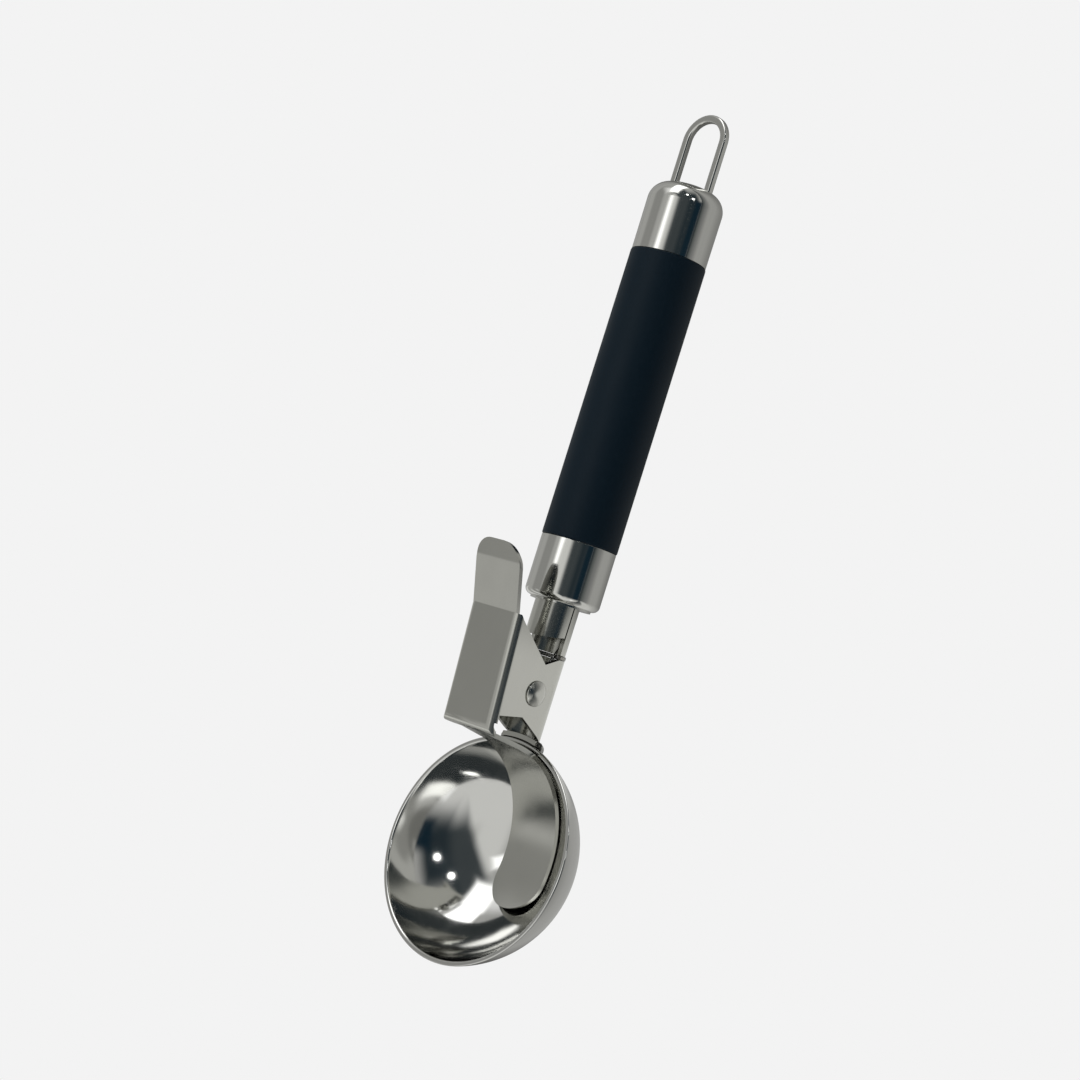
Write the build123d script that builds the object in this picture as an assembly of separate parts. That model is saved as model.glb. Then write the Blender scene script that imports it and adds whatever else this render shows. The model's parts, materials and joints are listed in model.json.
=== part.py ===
"""Lever ice cream scoop: a steel bowl on a round handle, with a sprung thumb lever that sweeps
a tongue through the bowl.

Handle frame, in which every piece is drawn: x runs along the handle axis from the pivot towards
the hanging loop, z points to the side that the bowl opens to, and y = 0 is the middle plane.
laid_down() then puts the whole scoop on a table, mouth up: +Z up, the table at z = 0, and the
origin under the middle of the scoop's box. Lengths are millimetres and angles are degrees.
"""
import os
from math import acos, asin, atan2, cos, degrees, hypot, pi, radians, sin, sqrt, tan

from build123d import *

# --- bowl ---------------------------------------------------------------------------------------
mouth_diameter = 60.0      # outside, at the rim
bowl_depth = 24.18         # outside, below the mouth
bowl_wall = 1.2
rim_round = 0.4            # both edges of the rim
rim_x = -12.12             # the rim where it comes nearest to the handle
rim_z = -0.06
mouth_tilt = 7.0           # the mouth leans towards the handle

# --- sheet, pivot and lever ---------------------------------------------------------------------
sheet = 1.2                # lever and fork bracket
pivot_z = 8.6              # pivot axis above the handle axis
lever_width = 17.9         # across the cheeks
lever_corner = 2.2         # outside radius where a cheek is folded from the front plate
crease_x = 17.5            # where the thumb tab starts
crease_z = 22.7
plate_slope = 4.4
tab_slope = 19.0
tab_width = 15.4
tab_length = 12.3          # straight stretch of the thumb tab
tab_tip_slope = 27.0
tab_tip_length = 5.0
tab_corner = 5.6
tab_tip_round = 5.0        # inside radii of the bends along the sheet
crease_round = 2.4
heel_inset = 2.2           # the front plate turns down this far short of the sphere's widest place
heel_round = 2.8
heel_corner = 2.0          # lower corners of the heel, seen along the handle
cheek_back = 6.0           # the cheek reaches this far behind the pivot
cheek_bottom_x = -5.4      # bottom edge of the cheek, level with its back
cheek_bottom_lean = 8.0    # the bottom edge leans this far from upright
cheek_slant = 54.3         # slope of the cheek's upper edge
cheek_slant_x = 3.5        # where that edge would meet the cheek's back
cheek_round = 4.4
heel_neck_width = 8.2      # tongue where it leaves the heel
tongue_width = 15.7
tongue_gap = 0.35          # between the tongue's edges and the bowl
tongue_wide_z = 0.0        # height at which the tongue has its full width
tongue_end_angle = 31.0    # how far the tongue's tip lies past the bottom of the bowl

# --- fork bracket and pivot stack ---------------------------------------------------------------
bracket_width = 12.2
bracket_top_x = 9.8
bracket_top_z = 0.6        # front corner of the bracket's top edge
bracket_ear_radius = 5.4
bracket_foot_x = -11.2     # front corner of the ears, by the rim
bracket_foot_z = -1.3
pin_diameter = 4.0
pin_head_diameter = 6.6
pin_head_height = 1.5
pin_play = 0.06            # radial, in the lever's cheeks
pin_fit = 0.02             # radial, in the bracket, washers and spacer
side_play = 0.1            # between faces that turn on each other
washer_diameter = 9.0
spacer_diameter = 5.6

# --- return spring ------------------------------------------------------------------------------
spring_wire = 0.9
spring_coil = 7.4          # mean diameter of the coil
spring_turns = 4
spring_pitch = 1.15
spring_rest_x = 13.0       # where the fixed leg bears on the neck tube
spring_push_x = 9.5        # where the moving leg bears on the lever's plate
spring_coil_steps = 48     # points that the smooth curve of the wire runs through
spring_leg_steps = 4

# --- neck ---------------------------------------------------------------------------------------
neck_diameter = 11.7
neck_wall = 1.2
neck_z = 1.0               # the neck lies this far off the handle axis
neck_window_x = 14.2       # the front half of the tube is cut away below this
neck_window_lean = 12.0    # that cut leans this far from square to the tube
neck_slit = 0.45           # width of the slit on each side above the window
neck_slit_depth = 3.0      # length of the slits inside the handle
neck_depth = 36.0          # length of neck tube inside the handle

# --- handle -------------------------------------------------------------------------------------
handle_start_x = 23.8      # lower end of the lower ferrule
ferrule_diameter = 19.8
ferrule_length = 15.8
ferrule_wall = 0.9
ferrule_end_round = 1.8
collar_diameter = 16.0
collar_proud = 0.5         # the collar stands this far out of the ferrule
collar_thickness = 3.6
grip_diameter = 20.1
grip_length = 77.0
grip_edge_round = 0.25
cap_length = 19.2
cap_flare = 0.1            # the cap is this much larger in radius at its shoulder
cap_end_round = 5.0
cap_dome = 0.5
tube_wall = 0.8            # inner handle tube
plug_length = 33.0         # neck plug
cross_pin_inset = 19.8     # from the plug's lower end
loop_plug_length = 14.0
cross_pin_diameter = 3.0
fit_gap = 0.05             # between pressed and glued pieces

# --- hanging loop -------------------------------------------------------------------------------
loop_reach = 20.1          # above the end of the cap
loop_width = 14.2
loop_strip = 2.0           # across the bend
loop_strip_width = 1.9
loop_edge_round = 0.5
loop_foot = 0.9            # the legs' ends are splayed by this under the loop plug

# --- welds --------------------------------------------------------------------------------------
weld_size = 1.7            # bead between bowl and bracket
weld_round = 1.2           # outer edge of that bead
weld_gap = 0.05            # between a bead and the pieces that it joins
neck_weld_length = 1.2     # bead between bracket and neck tube, along the tube
neck_weld_proud = 0.35

# --- worked out ---------------------------------------------------------------------------------
mouth_centre_x = rim_x - mouth_diameter / 2 * cos(radians(mouth_tilt))
mouth_centre_z = rim_z + mouth_diameter / 2 * sin(radians(mouth_tilt))
bowl_radius = ((mouth_diameter / 2)**2 + bowl_depth**2) / (2 * bowl_depth)
bowl_inner = bowl_radius - bowl_wall
centre_lift = bowl_radius - bowl_depth
sphere_x = mouth_centre_x + centre_lift * sin(radians(mouth_tilt))
sphere_z = mouth_centre_z + centre_lift * cos(radians(mouth_tilt))
ferrule_radius = ferrule_diameter / 2
tube_radius = ferrule_radius - ferrule_wall - fit_gap
plug_radius = tube_radius - tube_wall - fit_gap
neck_radius = neck_diameter / 2
grip_start_x = handle_start_x + ferrule_length
cap_start_x = grip_start_x + grip_length
cap_end_x = cap_start_x + cap_length
cap_radius = ferrule_radius + cap_flare
tube_start_x = handle_start_x + collar_thickness - collar_proud + fit_gap
tube_end_x = cap_end_x - cap_end_round - ferrule_wall
loop_plug_start_x = tube_end_x - loop_plug_length
bracket_half = bracket_width / 2
cheek_outside = lever_width / 2
cheek_inside = cheek_outside - sheet
tongue_face = sqrt((bowl_inner - tongue_gap)**2 - (tongue_width / 2)**2) - sheet
heel_x = sphere_x + bowl_radius - heel_inset
heel_z = crease_z - (crease_x - heel_x) * tan(radians(plate_slope))
FAR = 240.0                # longer than the whole scoop, for cuts that go right through


def rod(radius, x_start, x_end, z=0.0):
    """Round bar along x."""
    bar = Cylinder(radius, x_end - x_start, rotation=(0, 90, 0))
    return Pos((x_start + x_end) / 2, 0, z) * bar


def cross_rod(radius, y_start, y_end, x, z):
    """Round bar along y."""
    bar = Cylinder(radius, y_end - y_start, rotation=(90, 0, 0))
    return Pos(x, (y_start + y_end) / 2, z) * bar


def block(x_start, x_end, y_start, y_end, z_start, z_end):
    """Box between two corners."""
    middle = Pos((x_start + x_end) / 2, (y_start + y_end) / 2, (z_start + z_end) / 2)
    return middle * Box(x_end - x_start, y_end - y_start, z_end - z_start)


def across(face, width):
    """Extrude a face drawn with x along the handle and y towards the mouth to both sides."""
    return extrude(Plane.XZ * face, amount=width / 2, both=True)


def turned(*edges):
    """Turn a profile drawn with x along the handle and y as the radius about the handle axis."""
    return revolve(make_face(edges), Axis.X)


# --- bowl ---------------------------------------------------------------------------------------
def bowl_profile_point(radius, angle):
    """Point of the bowl's section, at an angle from the bottom as seen from the sphere's centre."""
    return (radius * sin(angle), centre_lift - radius * cos(angle))


def in_mouth(shape):
    """Put a shape drawn about the mouth's axis where the bowl sits."""
    return Pos(mouth_centre_x, 0, mouth_centre_z) * Rotation(0, mouth_tilt, 0) * shape


def bowl():
    """Pressed bowl, part of a sphere, open at the mouth."""
    outer_end = acos(centre_lift / bowl_radius)
    inner_end = acos(centre_lift / bowl_inner)
    outer = [bowl_profile_point(bowl_radius, outer_end * share) for share in (0, 0.5, 1)]
    inner = [bowl_profile_point(bowl_inner, inner_end * share) for share in (1, 0.5, 0)]
    edges = [ThreePointArc(*outer), Line(outer[-1], inner[0]), ThreePointArc(*inner),
             Line(inner[-1], outer[0])]
    shell = revolve(Plane.XZ * make_face(edges), Axis.Z)
    rim = shell.edges().filter_by(GeomType.CIRCLE).sort_by(Axis.Z)[-2:]
    return in_mouth(fillet(rim, rim_round))


def bowl_ball(radius):
    """Ball about the centre of the bowl's sphere."""
    return Pos(sphere_x, 0, sphere_z) * Sphere(radius)


# --- fork bracket -------------------------------------------------------------------------------
def channel(radius, x_start, x_end):
    """Solid of a channel's outline: round at the back, straight and open to the front."""
    return rod(radius, x_start, x_end, neck_z) + block(
        x_start, x_end, -radius, radius, neck_z, neck_z + FAR)


def bracket_outline():
    """Side view of the fork bracket: ears round the pivot, a foot that runs to the bowl."""
    back_z = neck_z - bracket_half - sheet
    ear = Pos(0, pivot_z) * Circle(bracket_ear_radius)
    corners = Polyline((bracket_foot_x, bracket_foot_z), (bracket_foot_x, back_z),
                       (bracket_top_x, back_z), (bracket_top_x, bracket_top_z))
    hull = make_hull(ear.edges() + corners.edges())
    foot = Polygon((bracket_foot_x, back_z), (bracket_foot_x, bracket_foot_z),
                   (sphere_x, bracket_foot_z), (sphere_x, back_z), align=None)
    return hull + foot


def fork_bracket():
    """Sheet channel with two ears for the pivot, cut to sit on the outside of the bowl."""
    section = channel(bracket_half, -FAR, bracket_top_x) - channel(bracket_half - sheet, -FAR, FAR)
    part = section & across(bracket_outline(), bracket_width + sheet)
    part += bracket_end()
    part -= bowl_ball(bowl_radius + weld_gap)
    return part - cross_rod(pin_diameter / 2 + pin_fit, -FAR, FAR, 0, pivot_z)


def bracket_end():
    """Wall that closes the channel against the bowl, level with the rim."""
    wall = channel(bracket_half, sphere_x, 0) & bowl_ball(bowl_radius + weld_gap + sheet)
    return wall & in_mouth(block(-FAR, FAR, -FAR, FAR, -FAR, 0))


def bowl_weld():
    """Bead of weld along the outside corner between the bracket and the bowl."""
    bead = channel(bracket_half + weld_size, -FAR, 0) - channel(bracket_half + weld_gap, -FAR, FAR)
    bead &= bowl_ball(bowl_radius + weld_size) & block(sphere_x, 0, -FAR, FAR, -FAR, bracket_foot_z)
    bead -= bowl_ball(bowl_radius + weld_gap)
    outside = bead.edges().sort_by(Axis((0, 0, 0), (1, 0, -1)))[-1]
    return fillet(outside, weld_round)


# --- neck ---------------------------------------------------------------------------------------
def neck_weld():
    """Bead of weld between the end of the bracket and the neck tube."""
    start, end = bracket_top_x + weld_gap, bracket_top_x + neck_weld_length - weld_gap
    bead = rod(neck_radius + neck_weld_proud, start, end, neck_z)
    bead = fillet(bead.edges().filter_by(GeomType.CIRCLE), neck_weld_proud)
    bead -= rod(neck_radius - neck_wall, -FAR, FAR, neck_z)
    return bead & block(-FAR, FAR, -FAR, FAR, -FAR, bracket_top_z)


def neck_tube():
    """Round tube from the bracket into the handle, with its front half cut away at the window."""
    start, end = bracket_top_x + neck_weld_length, handle_start_x + neck_depth
    tube = rod(neck_radius, start, end, neck_z) - rod(neck_radius - neck_wall, -FAR, FAR, neck_z)
    window = Rotation(0, -neck_window_lean, 0) * block(-FAR, 0, -FAR, FAR, -FAR, FAR)
    window = Pos(neck_window_x, 0, neck_z + neck_radius) * window
    tube -= window & block(-FAR, FAR, -FAR, FAR, bracket_top_z, FAR)
    tube -= block(neck_window_x, handle_start_x + neck_slit_depth, -FAR, FAR, bracket_top_z,
                  bracket_top_z + neck_slit)
    return tube - cross_pin(fit_gap)


def neck_bore(start, end):
    """What the neck tube takes out of the collar and the plug that hold it."""
    return rod(neck_radius + fit_gap, start, end, neck_z)


def neck_collar():
    """Disc that closes the lower ferrule round the neck tube."""
    start = handle_start_x - collar_proud
    disc = rod(collar_diameter / 2, start, start + collar_thickness)
    return disc - neck_bore(-FAR, FAR)


def neck_plug():
    """Plug inside the handle tube that carries the neck tube."""
    start = tube_start_x
    plug = rod(plug_radius, start, start + plug_length) - neck_bore(-FAR, FAR)
    return plug - cross_pin(fit_gap)


def cross_pin(gap=0.0):
    """Pin across the plug and the neck tube; with a gap, the hole for it."""
    reach = sqrt(plug_radius**2 - (cross_pin_diameter / 2)**2) - fit_gap
    half = FAR if gap else reach
    return cross_rod(cross_pin_diameter / 2 + gap, -half, half, tube_start_x + cross_pin_inset, 0)


# --- handle -------------------------------------------------------------------------------------
def lower_ferrule():
    """Drawn steel cup round the lower end of the handle, open in the middle for the collar."""
    inner, opening = ferrule_radius - ferrule_wall, collar_diameter / 2 + fit_gap
    start, end = handle_start_x, grip_start_x
    wall_start, rounded = start + ferrule_wall, ferrule_end_round
    return turned(
        Line((start, opening), (start, ferrule_radius - rounded)),
        CenterArc((start + rounded, ferrule_radius - rounded), rounded, 90, 90),
        Line((start + rounded, ferrule_radius), (end, ferrule_radius)),
        Line((end, ferrule_radius), (end, inner)),
        Line((end, inner), (wall_start, inner)),
        Line((wall_start, inner), (wall_start, opening)),
        Line((wall_start, opening), (start, opening)))


def handle_tube():
    """Thin steel tube that the ferrules and the grip are pushed over."""
    return rod(tube_radius, tube_start_x, tube_end_x) - rod(tube_radius - tube_wall, -FAR, FAR)


def grip_sleeve():
    """Rubber sleeve between the two ferrules."""
    start, end = grip_start_x + fit_gap, cap_start_x - fit_gap
    sleeve = rod(grip_diameter / 2, start, end)
    sleeve = fillet(sleeve.edges().filter_by(GeomType.CIRCLE), grip_edge_round)
    return sleeve - rod(tube_radius + fit_gap, -FAR, FAR)


def cap_edges(wall):
    """Half outline of the end cap, drawn in from the outside by a wall."""
    start, end = cap_start_x, cap_end_x - wall
    shoulder = cap_end_x - cap_end_round
    rounded = cap_end_round - wall
    low, high = ferrule_radius - wall, cap_radius - wall
    rim = (end, high - rounded)
    dome_radius = (rim[1]**2 + cap_dome**2) / (2 * cap_dome)
    round_off = CenterArc((shoulder, high - rounded), rounded, 0, 90)
    dome = CenterArc((end + cap_dome - dome_radius, 0), dome_radius, 0, degrees(asin(rim[1] / dome_radius)))
    return [Line((start, 0), (start, low)), Line((start, low), (shoulder, high)), round_off, dome,
            Line((end + cap_dome, 0), (start, 0))]


def end_cap():
    """Drawn steel cap over the loop end of the handle, with a slot for each leg of the loop."""
    cup = turned(*cap_edges(0)) - turned(*cap_edges(ferrule_wall))
    return cup - loop_legs(fit_gap)


def loop_plug():
    """Plug in the end of the handle tube that holds the legs of the loop."""
    plug = rod(plug_radius, loop_plug_start_x, tube_end_x)
    return plug - loop_legs(fit_gap)


def loop_legs(gap=0.0):
    """Both straight legs of the loop; with a gap, the slots for them."""
    outer = loop_width / 2 + gap
    inner = loop_width / 2 - loop_strip - gap
    half = loop_strip_width / 2 + gap
    bar = block(loop_plug_start_x, loop_bend_x(), inner, outer, -half, half)
    return bar + mirror(bar, Plane.XZ)


def loop_bend_x():
    """Where the loop's legs end and its bend starts."""
    return cap_end_x + loop_reach - loop_width / 2


def hanging_loop():
    """Flat strip bent to a loop, its ends splayed under the loop plug."""
    outer, half = loop_width / 2, loop_strip_width / 2
    ring = Cylinder(outer, loop_strip_width) - Cylinder(outer - loop_strip, loop_strip_width)
    bend = Pos(loop_bend_x(), 0, 0) * ring
    bend &= block(loop_bend_x(), loop_bend_x() + FAR, -FAR, FAR, -FAR, FAR)
    part = loop_legs() + bend
    long_edges = part.edges().filter_by(lambda edge: edge.length > loop_strip * 2)
    part = fillet(long_edges, loop_edge_round)
    foot = block(loop_plug_start_x - loop_strip, loop_plug_start_x - fit_gap, outer - loop_strip,
                 outer + loop_foot, -half, half)
    stub = block(loop_plug_start_x - loop_strip, loop_plug_start_x + loop_strip / 2,
                 outer - loop_strip, outer, -half + loop_edge_round, half - loop_edge_round)
    foot += stub
    return part + foot + mirror(foot, Plane.XZ)


# --- pivot --------------------------------------------------------------------------------------
def pivot_pin():
    """Rivet through cheeks and ears, with a domed head on each side."""
    seat = cheek_outside + side_play
    shank = cross_rod(pin_diameter / 2, -seat, seat, 0, pivot_z)
    radius = pin_head_diameter / 2
    dome_radius = (radius**2 + pin_head_height**2) / (2 * pin_head_height)
    dome = Pos(0, seat + pin_head_height - dome_radius, pivot_z) * Sphere(dome_radius)
    head = dome & block(-FAR, FAR, seat, FAR, -FAR, FAR)
    return shank + head + mirror(head, Plane.XZ)


def washer(side):
    """Washer between an ear of the bracket and a cheek of the lever."""
    low, high = bracket_half + fit_gap, cheek_inside - side_play
    ring = cross_rod(washer_diameter / 2, low, high, 0, pivot_z)
    ring -= cross_rod(pin_diameter / 2 + pin_fit, -FAR, FAR, 0, pivot_z)
    return ring if side > 0 else mirror(ring, Plane.XZ)


def pivot_spacer():
    """Tube on the rivet that keeps the ears apart and carries the spring's coil."""
    half = bracket_half - sheet - fit_gap
    tube = cross_rod(spacer_diameter / 2, -half, half, 0, pivot_z)
    return tube - cross_rod(pin_diameter / 2 + pin_fit, -FAR, FAR, 0, pivot_z)


# --- return spring ------------------------------------------------------------------------------
def spring_ends():
    """Tips of the spring: on the lever's front plate, and on the inside of the neck tube."""
    wire, half = spring_wire / 2, spring_length() / 2
    slope = radians(plate_slope)
    plate_z = crease_z - (crease_x - spring_push_x) * tan(slope)
    push_z = plate_z - (sheet + wire + fit_gap) / cos(slope)
    room = neck_radius - neck_wall - wire - fit_gap
    return (spring_push_x, push_z), (spring_rest_x, neck_z - sqrt(room**2 - half**2))


def leg_angle(tip, side):
    """Angle round the pivot at which the straight leg from a tip meets the coil."""
    away = (tip[0], tip[1] - pivot_z)
    return atan2(away[1], away[0]) + side * acos(spring_coil / 2 / hypot(*away))


def spring_length():
    """Length of the coil along the pivot."""
    return spring_turns * spring_pitch


def leg_points(tip, coil_end):
    """Points down a straight leg, from its tip to just before the coil."""
    return [tip + (coil_end - tip) * (step / spring_leg_steps) for step in range(spring_leg_steps)]


def return_spring():
    """Torsion spring: one leg bears on the lever's front plate, the other on the neck tube."""
    radius, half = spring_coil / 2, spring_length() / 2
    push, rest = spring_ends()
    start = leg_angle(push, 1)
    turned_by = (leg_angle(rest, -1) - start) % (2 * pi) + 2 * pi * (spring_turns - 1)
    coil = []
    for step in range(spring_coil_steps + 1):
        share = step / spring_coil_steps
        angle = start + turned_by * share
        coil.append(Vector(radius * cos(angle), half - spring_length() * share,
                           pivot_z + radius * sin(angle)))
    push_leg = leg_points(Vector(push[0], half, push[1]), coil[0])
    rest_leg = leg_points(Vector(rest[0], -half, rest[1]), coil[-1])
    path = Wire([Spline(*push_leg, *coil, *reversed(rest_leg))])
    return sweep(Plane(origin=path @ 0, z_dir=path % 0) * Circle(spring_wire / 2), path)


# --- lever --------------------------------------------------------------------------------------
def along(point, slope, length):
    """Point at a distance from another, up a slope."""
    return (point[0] + length * cos(radians(slope)), point[1] + length * sin(radians(slope)))


def tongue_start():
    """Where the straight neck below the heel meets the tongue's arc without a kink."""
    to_heel = (heel_x - sphere_x, heel_z - sphere_z)
    angle = atan2(to_heel[1], to_heel[0]) - acos(tongue_face / hypot(*to_heel))
    return (sphere_x + tongue_face * cos(angle), sphere_z + tongue_face * sin(angle))


def tongue_point(angle):
    """Point of the tongue's upper face, at an angle past the bottom of the bowl."""
    return (sphere_x - tongue_face * sin(radians(angle)), sphere_z - tongue_face * cos(radians(angle)))


def strip_section():
    """Section of the sheet from the thumb tab's tip over front plate and heel to the tongue's end."""
    crease = (crease_x, crease_z)
    bend = along(crease, tab_slope, tab_length)
    tip = along(bend, tab_tip_slope, tab_tip_length)
    start = tongue_start()
    start_angle = -degrees(atan2(start[0] - sphere_x, sphere_z - start[1]))
    folded = FilletPolyline(tip, bend, crease, (heel_x, heel_z), start,
                            radius=[tab_tip_round, crease_round, heel_round])
    arc = ThreePointArc(start, tongue_point((start_angle + tongue_end_angle) / 2),
                        tongue_point(tongue_end_angle))
    path = Wire(folded.edges() + arc.edges())
    return make_face(path.offset_2d(sheet, kind=Kind.ARC, side=Side.LEFT, closed=True))


def tab_mask(tip_x):
    """Plan view of the thumb tab, with its rounded end."""
    half, low = tab_width / 2, crease_x - FAR
    outline = Polygon((low, -half), (tip_x, -half), (tip_x, half), (low, half), align=None)
    ends = outline.vertices().sort_by(Axis.X)[-2:]
    return extrude(fillet(ends, tab_corner), amount=FAR, both=True)


def tongue_mask():
    """Plan view of the tongue, with its rounded end."""
    half = tongue_width / 2
    end_x = tongue_point(tongue_end_angle)[0]
    outline = Pos(end_x + half, 0) * Circle(half)
    outline += Polygon((end_x + half, -half), (FAR, -half), (FAR, half), (end_x + half, half), align=None)
    return extrude(outline, amount=FAR, both=True)


def neck_mask(top_z):
    """View along the handle of the tongue: narrow at the heel, wide in the bowl."""
    wide, narrow = tongue_width / 2, heel_neck_width / 2
    outline = Polygon((-wide, -FAR), (wide, -FAR), (wide, tongue_wide_z), (narrow, top_z),
                      (-narrow, top_z), (-wide, tongue_wide_z), align=None)
    return extrude(Plane.YZ * outline, amount=FAR, both=True)


def cheek_outline():
    """Side view of the cheeks, with the strip of folded corner that runs on to the heel."""
    back_z = pivot_z - cheek_back
    slant_x = cheek_slant_x + (crease_z - lever_corner - back_z) / tan(radians(cheek_slant))
    top = (min(slant_x, crease_x), crease_z - lever_corner)
    shoulder = (crease_x, crease_z - sheet)
    front = (crease_x, crease_z + sheet)
    corner_z = heel_z + (heel_round + lever_corner) * tan(radians(plate_slope)) - lever_corner
    bottom_x = cheek_bottom_x - (corner_z - back_z) * tan(radians(cheek_bottom_lean))
    cheek = Polygon((cheek_bottom_x, back_z), (cheek_slant_x, back_z), top, shoulder, front,
                    (bottom_x, front[1]), (bottom_x, corner_z), align=None)
    cheek = fillet(cheek.vertices().sort_by(Axis.Y)[:2], cheek_round)
    strip = Polygon((heel_x + heel_round, corner_z), front, (heel_x + heel_round, front[1]), align=None)
    strip += Polygon((heel_x + heel_round, corner_z), top, shoulder, front, align=None)
    return cheek + strip


def folded_bar(inset):
    """Long bar with the outline of front plate and cheeks, drawn in from the outside."""
    width, corner = lever_width - 2 * inset, lever_corner - inset
    slope = radians(plate_slope)
    along_plate = Plane(origin=(crease_x, 0, crease_z), x_dir=(0, 1, 0), z_dir=(cos(slope), 0, sin(slope)))
    section = Pos(0, -FAR / 2 - inset) * RectangleRounded(width, FAR, corner)
    return extrude(along_plate * section, amount=-FAR)


def folded_channel():
    """Front plate and cheeks as one long folded channel, open towards the handle."""
    return folded_bar(0) - folded_bar(sheet)


def heel_mask(bottom_z):
    """View along the handle of the heel, with its rounded lower corners."""
    outline = Pos(0, bottom_z + FAR / 2) * RectangleRounded(lever_width, FAR, heel_corner)
    return extrude(Plane.YZ * outline, amount=FAR, both=True) & folded_bar(0)


def lever():
    """One folded sheet: thumb tab, front plate with two cheeks, and the tongue in the bowl."""
    heel_bottom_z = heel_z - heel_round - sheet / 2
    plate_end_x = heel_x + heel_round
    strip = across(strip_section(), lever_width)
    above = strip & block(-FAR, FAR, -FAR, FAR, heel_bottom_z, FAR)
    tip_x = along(along((crease_x, crease_z), tab_slope, tab_length), tab_tip_slope, tab_tip_length)[0]
    tab = above & block(crease_x, FAR, -FAR, FAR, -FAR, FAR) & tab_mask(tip_x)
    heel = above & block(-FAR, plate_end_x, -FAR, FAR, -FAR, FAR) & heel_mask(heel_bottom_z)
    tongue = strip & neck_mask(heel_bottom_z) & tongue_mask()
    cheeks = folded_channel() & across(cheek_outline(), 2 * lever_width)
    part = cheeks + tab + heel + tongue
    return part - cross_rod(pin_diameter / 2 + pin_play, -FAR, FAR, 0, pivot_z)


def rest_tilt():
    """Angle at which bowl and cap shoulder both touch a table below the scoop."""
    reach = cap_end_x - cap_end_round - sphere_x
    lift = sphere_z + cap_radius - cap_end_round
    return degrees(asin((bowl_radius - cap_end_round) / hypot(reach, lift)) - atan2(lift, reach))


def laid_down(pieces):
    """Lay the scoop on the table, mouth up, with the origin under the middle of its box."""
    tilted = {name: Rotation(0, rest_tilt(), 0) * piece for name, piece in pieces.items()}
    boxes = [piece.bounding_box() for piece in tilted.values()]
    middle_x = (min(box.min.X for box in boxes) + max(box.max.X for box in boxes)) / 2
    onto_table = Pos(-middle_x, 0, -min(box.min.Z for box in boxes))
    return {name: onto_table * piece for name, piece in tilted.items()}


PARTS = {
    "bowl": bowl,
    "bowl_weld": bowl_weld,
    "fork_bracket": fork_bracket,
    "neck_weld": neck_weld,
    "neck_tube": neck_tube,
    "neck_collar": neck_collar,
    "neck_plug": neck_plug,
    "cross_pin": cross_pin,
    "lower_ferrule": lower_ferrule,
    "handle_tube": handle_tube,
    "grip_sleeve": grip_sleeve,
    "end_cap": end_cap,
    "loop_plug": loop_plug,
    "hanging_loop": hanging_loop,
    "pivot_pin": pivot_pin,
    "washer_left": lambda: washer(1),
    "washer_right": lambda: washer(-1),
    "pivot_spacer": pivot_spacer,
    "return_spring": return_spring,
    "lever": lever,
}


def main():
    """Write one STEP file for each sub-part."""
    os.makedirs("parts", exist_ok=True)
    for name, piece in laid_down({name: make() for name, make in PARTS.items()}).items():
        export_step(piece, f"parts/{name}.step")


if __name__ == "__main__":
    main()
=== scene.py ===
"""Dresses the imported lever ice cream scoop: polished bowl, satin lever, bright ferrules, rubber grip.

Lengths in the settings are metres. Round pieces are drawn in the handle's own frame, in millimetres: x
runs along the handle from the pivot towards the hanging loop, z towards the side that the bowl opens
to, and y = 0 is the middle plane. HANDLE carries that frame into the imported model's.
"""
import json
from collections import namedtuple
from math import acos, atan2, cos, hypot, pi, radians, sin

import bmesh
import bpy
from mathutils import Euler, Matrix, Vector


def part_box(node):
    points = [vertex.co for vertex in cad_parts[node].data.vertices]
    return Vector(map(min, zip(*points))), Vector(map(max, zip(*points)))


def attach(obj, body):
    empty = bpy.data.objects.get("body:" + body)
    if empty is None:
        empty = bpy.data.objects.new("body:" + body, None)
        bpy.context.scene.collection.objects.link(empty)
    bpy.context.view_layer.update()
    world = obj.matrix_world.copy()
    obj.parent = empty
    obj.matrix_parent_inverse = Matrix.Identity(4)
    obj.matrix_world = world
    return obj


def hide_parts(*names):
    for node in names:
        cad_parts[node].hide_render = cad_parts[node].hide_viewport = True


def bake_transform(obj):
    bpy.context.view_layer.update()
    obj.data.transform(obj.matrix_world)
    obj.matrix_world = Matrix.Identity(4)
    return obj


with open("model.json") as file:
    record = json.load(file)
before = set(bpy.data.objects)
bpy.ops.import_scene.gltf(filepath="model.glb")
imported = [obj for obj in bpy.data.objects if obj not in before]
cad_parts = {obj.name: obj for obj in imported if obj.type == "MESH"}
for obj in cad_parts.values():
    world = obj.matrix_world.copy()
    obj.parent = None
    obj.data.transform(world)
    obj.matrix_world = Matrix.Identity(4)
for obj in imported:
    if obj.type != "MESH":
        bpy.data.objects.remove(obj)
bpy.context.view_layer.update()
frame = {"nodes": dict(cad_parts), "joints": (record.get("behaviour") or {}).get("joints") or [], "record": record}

bl_info = {
    "name": "Lever ice cream scoop",
    "version": (1, 0, 0),
    "blender": (4, 5, 0),
    "location": "View3D > Sidebar > Scoop",
    "description": "Builds the visible pieces, finishes and stage of a lever ice cream scoop",
    "category": "Object",
}

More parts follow.
